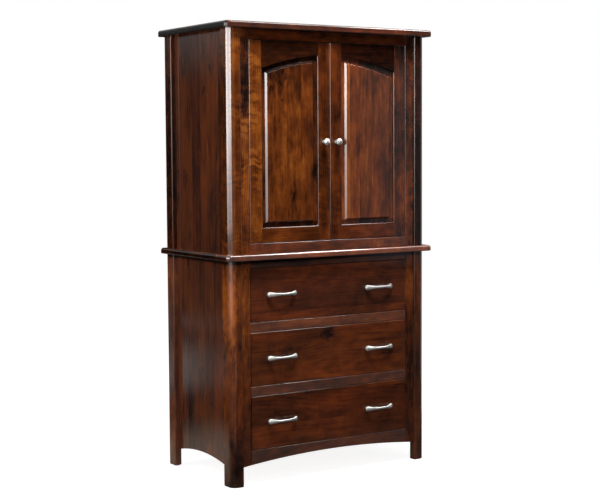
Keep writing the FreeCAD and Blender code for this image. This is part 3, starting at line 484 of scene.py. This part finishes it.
# every stained board: its grain, tone, glued strips and finish
# calm and blotch set how lively the figure is, a grey painted sheen stands in for reflection, gloss and satin
# set its shine, crisp and soften are for the edges, which may get painted highlight above and painted shade
# below, ends for the end grain
# a spot is across, along, wide and long in metres, then how much lighter or darker it is, and sapwood too
boards = {
    "upper_left_side_panel": dict(grain="uprightSide", strip=0.085, seed=1, blotch=0.45, paintedSheen=0.017),
    "upper_right_side_panel": dict(grain="uprightSide", strip=0.085, seed=2, blotch=0.45, paintedSheen=0.017),
    "base_left_side_panel": dict(
        grain="uprightSide", tone=0.09, strip=0.085, seed=3, blotch=0.35, paintedSheen=0.02, waistShadow=True,
        spots=[(0.19, 0.28, 0.13, 0.18, -0.20)]),
    "base_right_side_panel": dict(
        grain="uprightSide", tone=0.06, strip=0.085, seed=4, blotch=0.35, paintedSheen=0.015, waistShadow=True),
    "upper_left_front_post": dict(
        grain="uprightFront", tone=0.325, seed=5, curl=1.0,
        spots=[(-0.522, 1.45, 0.014, 1.2, -0.30)]),
    "upper_right_front_post": dict(
        grain="uprightFront", tone=-0.25, seed=6, curl=0.5, gloss=0.35, satin=0.08, crisp=True,
        soften=0.007),
    "base_left_front_post": dict(
        grain="uprightFront", tone=0.03, seed=7, curl=0.2, paintedSheen=0.004, waistShadow=True,
        sapwood=(-0.507, 0.78, 0.026, 0.24, 0.85),
        spots=[(-0.470, 0.86, 0.030, 0.16, 0.22), (-0.472, 0.26, 0.040, 0.46, -0.26),
               (-0.480, 0.10, 0.09, 0.26, -0.20)]),
    "base_right_front_post": dict(grain="uprightFront", tone=0.02, seed=8, paintedSheen=0.013, waistShadow=True),
    "upper_rear_posts": dict(
        grain="uprightSide", tone=-0.02, seed=9, gloss=0.15, satin=0.08, crisp=True, soften=0.004),
    "base_rear_posts": dict(
        grain="uprightSide", tone=0.09, seed=10, paintedSheen=0.034, gloss=0.4, satin=0.05, waistShadow=True),
    "upper_face_stiles": dict(
        grain="uprightFront", tone=0.01, seed=11, curl=1.2, calm=1.3, paintedSheen=0.005,
        # the second spot, a dark patch at the left stile's top by the post, is partly the wood's tone and
        # partly painted shadow of the crown
        spots=[(-0.436, 1.45, 0.20, 2.0, 0.30), (-0.430, 1.775, 0.060, 0.260, -0.52),
               (-0.436, 1.560, 0.045, 0.050, 0.42), (0.436, 1.87, 0.050, 0.120, -0.34)]),
    "base_face_stiles": dict(
        grain="uprightFront", tone=0.02, seed=12, curl=0.2, paintedSheen=0.006, waistShadow=True,
        spots=[(-0.436, 0.76, 0.08, 0.40, 0.40), (0.440, 0.84, 0.07, 0.20, 0.36),
               (0.440, 0.35, 0.10, 0.62, -0.24)]),
    "upper_top_rail": dict(grain="levelFront", tone=-0.08, seed=13),
    "upper_bottom_rail": dict(grain="levelFront", tone=0.17, seed=14, curl=1.0, hue=0.2, paintedSheen=0.03),
    "base_top_rail": dict(grain="levelFront", tone=-0.06, seed=15, paintedSheen=0.03, waistShadow=True),
    "drawer_rails": dict(
        grain="levelFront", tone=0.215, seed=16, hue=0.2, calm=0.9, paintedSheen=0.04, crisp=True, edgeLightPaint=0.5,
        spots=[(0.4075, 0.0, 0.032, 0.9, -0.16)]),
    "base_apron": dict(grain="levelFront", tone=-0.02, seed=17, calm=0.7, paintedSheen=0.032, crisp=True, edgeLightPaint=0.6),
    "crown_board": dict(
        grain="levelBoard", tone=-0.02, strip=0.11, seed=18, hue=0.4, paintedSheen=0.02, gloss=0.15, ends=2.0,
        under=True,
        spots=[(-0.300, -0.17, 0.05, 0.12, 0.28)]),
    "waist_board": dict(
        grain="levelBoard", tone=0.21, strip=0.11, seed=19, hue=0.4, paintedSheen=0.06, ends=1.8, under=True),
    "left_door_hinge_stile": dict(
        grain="uprightFront", tone=0.12, seed=20, curl=1.9, hue=-0.2,
        spots=[(-0.385, 1.13, 0.030, 0.09, 0.14), (-0.380, 1.80, 0.030, 0.07, 0.06)]),
    "left_door_lock_stile": dict(
        grain="uprightFront", tone=-0.11, seed=21, curl=0.6, calm=1.1,
        spots=[(-0.034, 1.885, 0.05, 0.10, -0.16)]),
    "left_door_top_rail": dict(grain="levelFront", tone=-0.19, seed=22, calm=0.8, gloss=0.2),
    "left_door_bottom_rail": dict(grain="levelFront", tone=0.05, seed=23),
    "left_door_panel": dict(
        grain="uprightFront", tone=0.09, strip=0.075, seed=24, hue=-0.2, blotch=1.2, crisp=True,
        shadedRecess=True,
        spots=[(-0.295, 1.770, 0.110, 0.105, -0.46), (-0.150, 1.790, 0.150, 0.080, -0.22),
               (-0.230, 1.410, 0.075, 0.085, 0.16), (-0.075, 1.350, 0.030, 0.060, -0.34),
               (-0.088, 1.340, 0.012, 0.018, -0.34), (-0.190, 1.224, 0.022, 0.085, -0.32),
               (-0.278, 1.230, 0.045, 0.065, 0.14), (-0.246, 1.653, 0.009, 0.011, -0.34)]),
    "right_door_hinge_stile": dict(
        grain="uprightFront", tone=-0.08, seed=25, calm=1.3, paintedSheen=0.01,
        spots=[(0.392, 1.885, 0.05, 0.11, -0.24)]),
    "right_door_lock_stile": dict(grain="uprightFront", tone=0.145, seed=26, curl=0.7),
    "right_door_top_rail": dict(grain="levelFront", tone=-0.42, seed=27, calm=0.8, gloss=0.2),
    "right_door_bottom_rail": dict(grain="levelFront", tone=0.015, seed=28, hue=0.2),
    "right_door_panel": dict(
        grain="uprightFront", tone=0.235, strip=0.075, seed=29, hue=0.3, calm=0.95, blotch=0.9,
        paintedSheen=0.012, crisp=True, shadedRecess=True,
        spots=[(0.167, 1.461, 0.036, 0.058, -0.26), (0.292, 1.320, 0.060, 0.20, -0.16),
               (0.115, 1.750, 0.04, 0.10, -0.06), (0.275, 1.700, 0.085, 0.17, 0.14),
               (0.215, 1.29, 0.05, 0.08, 0.08)]),
    "top_drawer_front": dict(
        grain="levelFront", tone=-0.04, strip=0.13, seed=30, curl=0.3, hue=0.3, calm=0.7, blotch=0.9,
        paintedSheen=0.011, crisp=True, edgeLightPaint=0.18),
    "middle_drawer_front": dict(
        grain="levelFront", tone=0.045, strip=0.13, seed=31, curl=0.3, hue=0.3, calm=0.7, blotch=0.9,
        paintedSheen=0.007, crisp=True, edgeLightPaint=0.18,
        spots=[(0.634, -0.018, 0.044, 0.042, -0.42), (0.52, 0.30, 0.05, 0.06, -0.14)]),
    "bottom_drawer_front": dict(
        grain="levelFront", tone=0.075, strip=0.13, seed=32, curl=0.3, hue=0.3, calm=0.7, blotch=0.9,
        paintedSheen=0.004, crisp=True, edgeLightPaint=0.18),
    "cabinet_floor": dict(grain="levelBoard", strip=0.10, seed=33),
    "loose_shelf": dict(grain="levelBoard", strip=0.10, seed=34),
}


def dress(node, material):
    slots = nodes[node].data.materials
    slots.clear()
    slots.append(material)


for node, plan in boards.items():
    dress(node, stainedWood("stained_" + node, **plan))
print("stained boards:", len(boards))

# thin-stained plywood backs
backSheet = {
    "ramp": [(0.0, (0.030, 0.014, 0.008)), (0.5, (0.095, 0.043, 0.023)), (1.0, (0.190, 0.095, 0.050))],
    "roughness": (0.50, 0.20), "bump": (0.12, 0.0004), "strip": 0.40,
    "seeds": {"base": 41, "upper": 42},
}


def stainedPlywood(name, seed):
    material, tree, shader = newMaterial(name)
    position = grainPosition(tree, "uprightFront")
    board = useGroup(tree, boardFigure, Position=position, Seed=seed, Strip=backSheet["strip"])
    feed(tree, shader["Base Color"], makeRamp(tree, board["Shade"], backSheet["ramp"]))
    low, spread = backSheet["roughness"]
    feed(tree, shader["Roughness"], weighted(tree, low, (board["Sheen"], spread)))
    addBump(tree, shader, board["Height"], *backSheet["bump"])
    return material


for case, seed in backSheet["seeds"].items():
    dress(case + "_back_panel", stainedPlywood("plywood_" + case, seed))

# clear-lacquered drawer boxes and cleats
paleBoard = {
    "ramp": [(0.0, (0.300, 0.170, 0.080)), (0.5, (0.560, 0.375, 0.215)), (1.0, (0.740, 0.560, 0.370))],
    "roughness": (0.36, 0.16), "bump": (0.10, 0.0004), "coat": 0.15, "coatRoughness": 0.25,
    "sideWall": 0.0141, "cleatSeed": 54,
    "seeds": {"top_drawer": 51, "middle_drawer": 52, "bottom_drawer": 53},
}
# dovetails at both ends of a box side: end grain of the pins, and thin joint lines
dovetail = {
    "depth": 0.014, "pitch": 0.034, "half": 0.0034, "slope": 0.22, "line": 0.0004, "skin": 0.0005,
    "pinShade": -0.20, "lineShade": -0.40,
}
boxFront, boxBack = (corner.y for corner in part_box("top_drawer_box"))
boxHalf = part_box("top_drawer_box")[1].x


def makeDovetails(plan):
    tree, given, result = startGroup("dovetails", dict(Position=None), ("Shade",))
    wide, deep, high = split(tree, given["Position"])
    fromFront = calc(tree, "SUBTRACT", deep, boxFront)
    fromEnd = calc(tree, "MINIMUM", fromFront, calc(tree, "SUBTRACT", boxBack, deep))
    fromPin = calc(tree, "PINGPONG", high, plan["pitch"] / 2)
    gap = calc(tree, "SUBTRACT", fromPin, weighted(tree, plan["half"], (fromEnd, plan["slope"])))
    inJoint = calc(tree, "LESS_THAN", fromEnd, plan["depth"])
    pin = calc(tree, "MULTIPLY", inJoint, calc(tree, "LESS_THAN", gap, 0.0))
    cut = calc(tree, "LESS_THAN", calc(tree, "ABSOLUTE", gap), plan["line"])
    shoulderReach = calc(tree, "ABSOLUTE", calc(tree, "SUBTRACT", fromEnd, plan["depth"]))
    shoulder = calc(tree, "LESS_THAN", shoulderReach, plan["line"])
    line = calc(tree, "MAXIMUM", calc(tree, "MULTIPLY", inJoint, cut), shoulder)
    shade = weighted(tree, calc(tree, "MULTIPLY", pin, plan["pinShade"]), (line, plan["lineShade"]))
    onSide = calc(tree, "GREATER_THAN", calc(tree, "ABSOLUTE", wide), boxHalf - plan["skin"])
    feed(tree, result["Shade"], calc(tree, "MULTIPLY", shade, onSide))
    return tree


dovetails = makeDovetails(dovetail)


def boxGrain(tree):  # along the depth in the sides, along the width in the rest
    wide = split(tree, coordinates(tree))[0]
    isSide = calc(tree, "GREATER_THAN", calc(tree, "ABSOLUTE", wide), boxHalf - paleBoard["sideWall"])
    choose = addNode(tree, "ShaderNodeMix", data_type="VECTOR")
    feed(tree, choose.inputs[0], isSide)
    vectors = (choose.inputs[4], choose.inputs[5])
    for socket, grain in zip(vectors, ("levelFront", "deepSide")):
        feed(tree, socket, grainPosition(tree, grain))
    return choose.outputs[1]


def paleWood(name, seed, boxSides):
    material, tree, shader = newMaterial(name)
    position = boxGrain(tree) if boxSides else grainPosition(tree, "deepSide")
    board = useGroup(tree, boardFigure, Position=position, Seed=seed)
    shade = board["Shade"]
    if boxSides:
        shade = calc(tree, "ADD", shade, useGroup(tree, dovetails, Position=coordinates(tree))["Shade"])
    feed(tree, shader["Base Color"], makeRamp(tree, shade, paleBoard["ramp"]))
    low, spread = paleBoard["roughness"]
    feed(tree, shader["Roughness"], weighted(tree, low, (board["Sheen"], spread)))
    shader["Coat Weight"].default_value = paleBoard["coat"]
    shader["Coat Roughness"].default_value = paleBoard["coatRoughness"]
    addBump(tree, shader, board["Height"], *paleBoard["bump"])
    return material


for drawer, seed in paleBoard["seeds"].items():
    dress(drawer + "_box", paleWood("pale_" + drawer, seed, True))
dress("slide_cleats", paleWood("pale_cleats", paleBoard["cleatSeed"], False))
print("plywood and pale wood dressed")

# metals and plastics, each with its slot in the record
metals = {
    "satinNickel": dict(slot="satin_nickel", colour=((0.33, 0.325, 0.305), (0.46, 0.45, 0.425)),
                        roughness=(0.54, 0.12), scale=(900, 900), bump=(0.05, 0.0002)),
    "zincSteel": dict(slot="zinc_steel", colour=((0.52, 0.53, 0.55), (0.70, 0.71, 0.72)),
                      roughness=(0.28, 0.20), scale=(120, 30), bump=(0.04, 0.0002)),
    # bronzed steel for the pivot plates and back screws, made darker than the finish alone as painted shade
    # for the plates deep in the door gap
    "bronzedSteelShaded": dict(slot="bronzed_steel", colour=((0.030, 0.024, 0.019), (0.060, 0.048, 0.038)),
                         roughness=(0.40, 0.20), scale=(200, 60), bump=(0.05, 0.0002)),
}
plastics = {
    "blackPlastic": dict(slot="black_plastic", colour=((0.012, 0.012, 0.013), (0.030, 0.030, 0.032)),
                         roughness=(0.42, 0.18), scale=(1400, 1400), bump=(0.25, 0.0002)),
    "nylonGlide": dict(slot="nylon", colour=((0.62, 0.60, 0.54), (0.78, 0.76, 0.70)),
                       roughness=(0.40, 0.20), scale=(300, 300), bump=(0.10, 0.0002)),
}
mottle = {
    "gritDetail": 3, "cloud": dict(scale=(40, 40), detail=2), "wearRadius": 0.0012, "wearBreakup": 140.0,
    "gritShade": 0.5, "cloudShade": 0.5, "wearShade": 0.3, "stops": (0.25, 0.75),
}


def mottled(name, plan, metallic):
    material, tree, shader = newMaterial(name)
    position = coordinates(tree)
    grit = noise(tree, position, plan["scale"], detail=mottle["gritDetail"])
    cloud = noise(tree, position, **mottle["cloud"])
    worn = useGroup(tree, edgeWear, Radius=mottle["wearRadius"], Breakup=mottle["wearBreakup"])["Mask"]
    shade = weighted(tree, 0.0, (grit, mottle["gritShade"]), (cloud, mottle["cloudShade"]),
                     (worn, mottle["wearShade"]))
    feed(tree, shader["Base Color"], makeRamp(tree, shade, list(zip(mottle["stops"], plan["colour"]))))
    low, spread = plan["roughness"]
    feed(tree, shader["Roughness"], weighted(tree, low, (grit, spread)))
    shader["Metallic"].default_value = metallic
    addBump(tree, shader, grit, *plan["bump"])
    return material


finishes = {plan["slot"]: mottled(name, plan, 1.0) for name, plan in metals.items()}
finishes.update({plan["slot"]: mottled(name, plan, 0.0) for name, plan in plastics.items()})
for part in frame["record"]["subparts"]:
    if part["material_slot"] in finishes:
        dress(part["node"], finishes[part["material_slot"]])
print("metals and plastics dressed")

# screw heads: domes with a cross cut in, on the backs and in the slides
screwHead = {
    "rings": (0.0, 0.13, 0.24, 0.36, 0.50, 0.58, 0.72, 0.86, 0.96, 1.0), "spokes": 24, "domePower": 2.4,
    "crossHalf": 0.15, "crossReach": 0.55, "crossDepth": 0.65, "lift": 0.0001, "turnStep": 0.9,
}
backScrews = {
    "radius": 0.0042, "rise": 0.0014, "upSteps": 6, "acrossSteps": 5,
    # in from the panel's sides, lower edge and upper edge
    "insets": {"base_back_panel": (0.0124, 0.014, 0.012), "upper_back_panel": (0.0124, 0.012, 0.011)},
}
slideScrews = {
    "radius": 0.0038, "rise": 0.0014, "web": 0.0012,
    "deep": (-0.215, -0.085, 0.060, 0.190),  # from front to back
    "drawers": ("top_drawer", "middle_drawer", "bottom_drawer"),
}


def addHead(mesh, place, out, radius, rise, turn):
    side = Vector((0, 0, 1)).cross(out)
    up = out.cross(side)
    spokes = screwHead["spokes"]
    rings = []
    for share in screwHead["rings"]:
        ring = []
        for spoke in range(spokes if share else 1):
            angle = 2 * math.pi * spoke / spokes
            x, y = share * math.cos(angle), share * math.sin(angle)
            height = rise * max(0.0, 1 - share ** screwHead["domePower"])
            if min(abs(x), abs(y)) < screwHead["crossHalf"] and max(abs(x), abs(y)) < screwHead["crossReach"]:
                height -= rise * screwHead["crossDepth"]
            a, b = x * math.cos(turn) - y * math.sin(turn), x * math.sin(turn) + y * math.cos(turn)
            spot = place + out * (screwHead["lift"] + height) + (side * a + up * b) * radius
            ring.append(mesh.verts.new(spot))
        rings.append(ring)
    for inner, outer in zip(rings, rings[1:]):
        for spoke in range(spokes):
            after = (spoke + 1) % spokes
            if len(inner) == 1:
                mesh.faces.new((inner[0], outer[spoke], outer[after]))
            else:
                mesh.faces.new((inner[spoke], outer[spoke], outer[after], inner[after]))
    mesh.faces.new(list(reversed(rings[-1])))


def makeScrews(name, body, slot, plan, seats):
    mesh = bmesh.new()
    for count, (place, out) in enumerate(seats):
        addHead(mesh, Vector(place), Vector(out), plan["radius"], plan["rise"], screwHead["turnStep"] * count)
    data = bpy.data.meshes.new(name)
    bmesh.ops.recalc_face_normals(mesh, faces=mesh.faces)
    mesh.to_mesh(data)
    mesh.free()
    data.materials.append(finishes[slot])
    screws = bpy.data.objects.new(name, data)
    scene.collection.objects.link(screws)
    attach(screws, body)


def backSeats(plan):
    for panel, (aside, below, above) in plan["insets"].items():
        lowCorner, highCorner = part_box(panel)
        half, low, high = highCorner.x - aside, lowCorner.z + below, highCorner.z - above
        for step in range(plan["upSteps"] + 1):
            for side in (-1, 1):
                yield (side * half, highCorner.y, low + (high - low) * step / plan["upSteps"]), (0, 1, 0)
        for step in range(1, plan["acrossSteps"]):
            for level in (low, high):
                yield (half * (2 * step / plan["acrossSteps"] - 1), highCorner.y, level), (0, 1, 0)


def slideSeats(plan, drawer):
    lowCorner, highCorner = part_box(drawer + "_slide_inners")
    level = (lowCorner.z + highCorner.z) / 2
    for side in (-1, 1):
        for deep in plan["deep"]:
            yield (side * (boxHalf + plan["web"]), deep, level), (side, 0, 0)


makeScrews("back_screws", "cabinet", "bronzed_steel", backScrews, backSeats(backScrews))
for drawer in slideScrews["drawers"]:
    makeScrews(drawer + "_slide_screws", drawer, "zinc_steel", slideScrews, slideSeats(slideScrews, drawer))
print("screws set")

# studio: white floor and sky, soft lamps, cards that only gloss sees
studio = {
    "floorSize": 400.0, "floorColour": (0.60, 0.60, 0.60, 1), "floorGlow": 0.88, "skyFill": 0.24,
    "white": (1, 1, 1, 1),
}
lamps = {
    "overBox": dict(place=(-0.25, -1.55, 4.3), aim=(0, -0.27, 1.2), size=(0.7, 0.7), watts=150),
    "sideBox": dict(place=(-3.3, 0.55, 2.0), aim=(-0.5, 0.0, 1.1), size=(1.6, 2.2), watts=26),
    "nearBox": dict(place=(-2.6, -3.4, 2.2), aim=(0, 0, 1.2), size=(1.6, 1.6), watts=26),
    "fillBox": dict(place=(2.6, -3.2, 2.0), aim=(0, 0, 1.0), size=(2.0, 2.0), watts=5),
}
# cards seen only in the lacquer: bright ones for the rounded edges, dark ones for the flat faces
# a fade is the way over the card's face, where it starts and ends in metres, and the shares of glow there
glossCards = {
    "leftStrip": dict(place=(-3.4, 0.85, 2.10), aim=(-0.45, -0.25, 2.10), size=(1.7, 2.4), glow=18.0,
                      fades=[("upperEdgeLit", -1.05, -0.45, 0.35, 1.0)]),
    "nearStrip": dict(place=(-3.40, -2.71, 2.10), aim=(-0.45, -0.25, 2.10), size=(1.7, 2.4), glow=19.0,
                      fades=[("upperEdgeLit", -0.85, -0.20, 0.36, 1.0)]),
    "gapStrip": dict(place=(-3.72, -1.01, 2.10), aim=(-0.45, -0.25, 2.10), size=(2.27, 2.4), glow=15.0,
                     fades=[("upperEdgeLit", -1.05, -0.45, 0.35, 1.0)]),
    "overCard": dict(place=(2.53, -0.795, 4.0), aim=(2.53, -0.795, 0.0), size=(2.5, 0.95), glow=78.0,
                     fades=[("across", -1.25, -0.85, 0.0, 1.0), ("across", -0.55, 0.05, 1.0, 0.15)]),
    "archCard": dict(place=(0.78, -0.90, 4.0), aim=(0.78, -0.90, 0.0), size=(1.5, 0.80), glow=48.0,
                     fades=[("across", -0.75, -0.50, 0.0, 1.0), ("across", 0.45, 0.75, 1.0, 0.0)]),
    "rightFlag": dict(place=(0.95, -1.65, 1.4), aim=(0.0, -0.3, 1.4), size=(2.3, 2.8), glow=0.0),
    "rightGlow": dict(place=(1.35, -1.34, 1.35), aim=(0.40, 0.01, 1.35), size=(1.1, 1.10), glow=0.25,
                      fades=[("across", -0.55, -0.15, 0.0, 1.0)], tint=(0.85, 0.95, 1.10, 1)),
    "midFlag": dict(place=(-0.96, -3.62, 1.25), aim=(-0.487, -0.25, 1.25), size=(2.9, 2.5), glow=0.25),
    "lowGlow": dict(place=(-1.696, -0.731, 0.65), aim=(-0.487, -0.25, 0.65), size=(2.4, 0.5), glow=2.2,
                    fades=[("aside", 0.1, 1.1, 1.0, 0.0), ("upperEdgeLit", -0.25, 0.05, 0.0, 1.0)]),
    "highGlow": dict(place=(-3.03, 3.98, 2.7), aim=(-0.5, 0.0, 2.7), size=(6.0, 1.8), glow=0.58,
                     fades=[("upperEdgeLit", -0.80, -0.30, 0.0, 1.0), ("upperEdgeLit", -0.37, -0.31, 0.55, 1.0)],
                     tint=(0.85, 1.0, 1.0, 1)),
    "backFlag": dict(place=(-3.3, 4.4, 2.0), aim=(-0.5, 0.0, 1.2), size=(6.0, 4.0), glow=0.0),
    "rearFlag": dict(place=(1.5, 5.0, 2.0), aim=(1.5, 0.0, 2.0), size=(7.0, 4.0), glow=0.0),
    "frontMat": dict(place=(0.9, -1.7, 0.002), aim=(0.9, -1.7, -1.0), size=(3.4, 2.6), glow=0.015),
    "leftMat": dict(place=(-6.9, -5.5, 0.001), aim=(-6.9, -5.5, -1.0), size=(12.0, 12.0), glow=0.12),
    "backMat": dict(place=(-1.9, 2.0, 0.002), aim=(-1.9, 2.0, -1.0), size=(7.0, 6.0), glow=0.12),
    "farGlow": dict(place=(-1.716, 2.574, 0.004), aim=(-1.7165, 2.5749, -1.0), size=(1.6, 4.0), glow=0.56,
                    fades=[("upperEdgeLit", 0.3, 1.9, 1.0, 0.0), ("upperEdgeLit", -1.05, -0.15, 0.0, 1.0),
                           ("across", -0.26, 0.0, 0.25, 1.0)], tint=(0.95, 1.0, 1.0, 1)),
    "nearGlow": dict(place=(-0.75, 0.35, 0.004), aim=(-0.75, 0.35, -1.0), size=(2.0, 2.0), glow=0.48,
                     fades=[("outwards", 0.1, 1.0, 1.0, 0.0)], tint=(1.0, 0.95, 0.80, 1)),
}


def eyeFactor(tree):  # what the eye, gloss and glass see, apart from the light that falls
    ray = addNode(tree, "ShaderNodeLightPath").outputs
    seen = calc(tree, "MAXIMUM", ray["Is Camera Ray"], ray["Is Glossy Ray"])
    return calc(tree, "MAXIMUM", seen, ray["Is Transmission Ray"])


def aimed(place, aim):
    turn = (Vector(aim) - Vector(place)).to_track_quat("-Z", "Y")
    return Matrix.LocRotScale(Vector(place), turn, None)


def flatSheet(name, size, matrix, material):
    mesh = bpy.data.meshes.new(name)
    half = [s / 2 for s in size]
    corners = [(-half[0], -half[1], 0), (half[0], -half[1], 0), (half[0], half[1], 0), (-half[0], half[1], 0)]
    mesh.from_pydata(corners, [], [(0, 1, 2, 3)])
    mesh.materials.append(material)
    sheet = bpy.data.objects.new(name, mesh)
    sheet.matrix_world = matrix
    scene.collection.objects.link(sheet)
    return sheet


def makeSky():
    world = bpy.data.worlds.new("studioSky")
    world.use_nodes = True
    tree = world.node_tree
    tree.nodes.clear()
    fill = addNode(tree, "ShaderNodeBackground")
    fill.inputs["Strength"].default_value = studio["skyFill"]
    white = addNode(tree, "ShaderNodeBackground")
    white.inputs["Color"].default_value = studio["white"]
    both = addNode(tree, "ShaderNodeMixShader")
    for socket, value in zip(both.inputs, (eyeFactor(tree), fill.outputs[0], white.outputs[0])):
        feed(tree, socket, value)
    feed(tree, addNode(tree, "ShaderNodeOutputWorld").inputs["Surface"], both.outputs[0])
    scene.world = world


def makeFloor():
    material, tree, surface = bareMaterial("studioFloor")
    paint = addNode(tree, "ShaderNodeBsdfDiffuse")
    paint.inputs["Color"].default_value = studio["floorColour"]
    glow = addNode(tree, "ShaderNodeEmission")
    feed(tree, glow.inputs["Strength"], calc(tree, "MULTIPLY", eyeFactor(tree), studio["floorGlow"]))
    both = addNode(tree, "ShaderNodeAddShader")
    for socket, value in zip(both.inputs, (paint.outputs[0], glow.outputs[0])):
        feed(tree, socket, value)
    feed(tree, surface, both.outputs[0])
    flatSheet("studioFloor", (studio["floorSize"],) * 2, Matrix.Identity(4), material)


def makeLamp(name, plan):
    data = bpy.data.lights.new(name, "AREA")
    data.shape = "RECTANGLE"
    data.size, data.size_y = plan["size"]
    data.energy = plan["watts"]
    lamp = bpy.data.objects.new(name, data)
    lamp.matrix_world = aimed(plan["place"], plan["aim"])
    lamp.visible_camera = False
    lamp.visible_glossy = False
    scene.collection.objects.link(lamp)


def fadeReach(tree, way):  # over the card's own face, from its middle
    level, upright, _ = split(tree, coordinates(tree))
    if way == "outwards":
        return hypot(tree, level, upright)
    if way == "aside":
        return calc(tree, "ABSOLUTE", level)
    return {"across": level, "upperEdgeLit": upright}[way]


def makeCard(name, plan):
    material, tree, surface = bareMaterial(name)
    glow = addNode(tree, "ShaderNodeEmission")
    glow.inputs["Color"].default_value = plan.get("tint", studio["white"])
    strength = plan["glow"]
    for way, start, end, first, last in plan.get("fades", ()):
        share = remap(tree, fadeReach(tree, way), start, end, first, last)
        strength = calc(tree, "MULTIPLY", share, strength)
    feed(tree, glow.inputs["Strength"], strength)
    feed(tree, surface, glow.outputs[0])
    card = flatSheet(name, plan["size"], aimed(plan["place"], plan["aim"]), material)
    card.visible_camera = card.visible_diffuse = card.visible_shadow = card.visible_transmission = False


makeSky()
makeFloor()
for name, plan in lamps.items():
    makeLamp(name, plan)
for name, plan in glossCards.items():
    makeCard(name, plan)
print("studio lit")
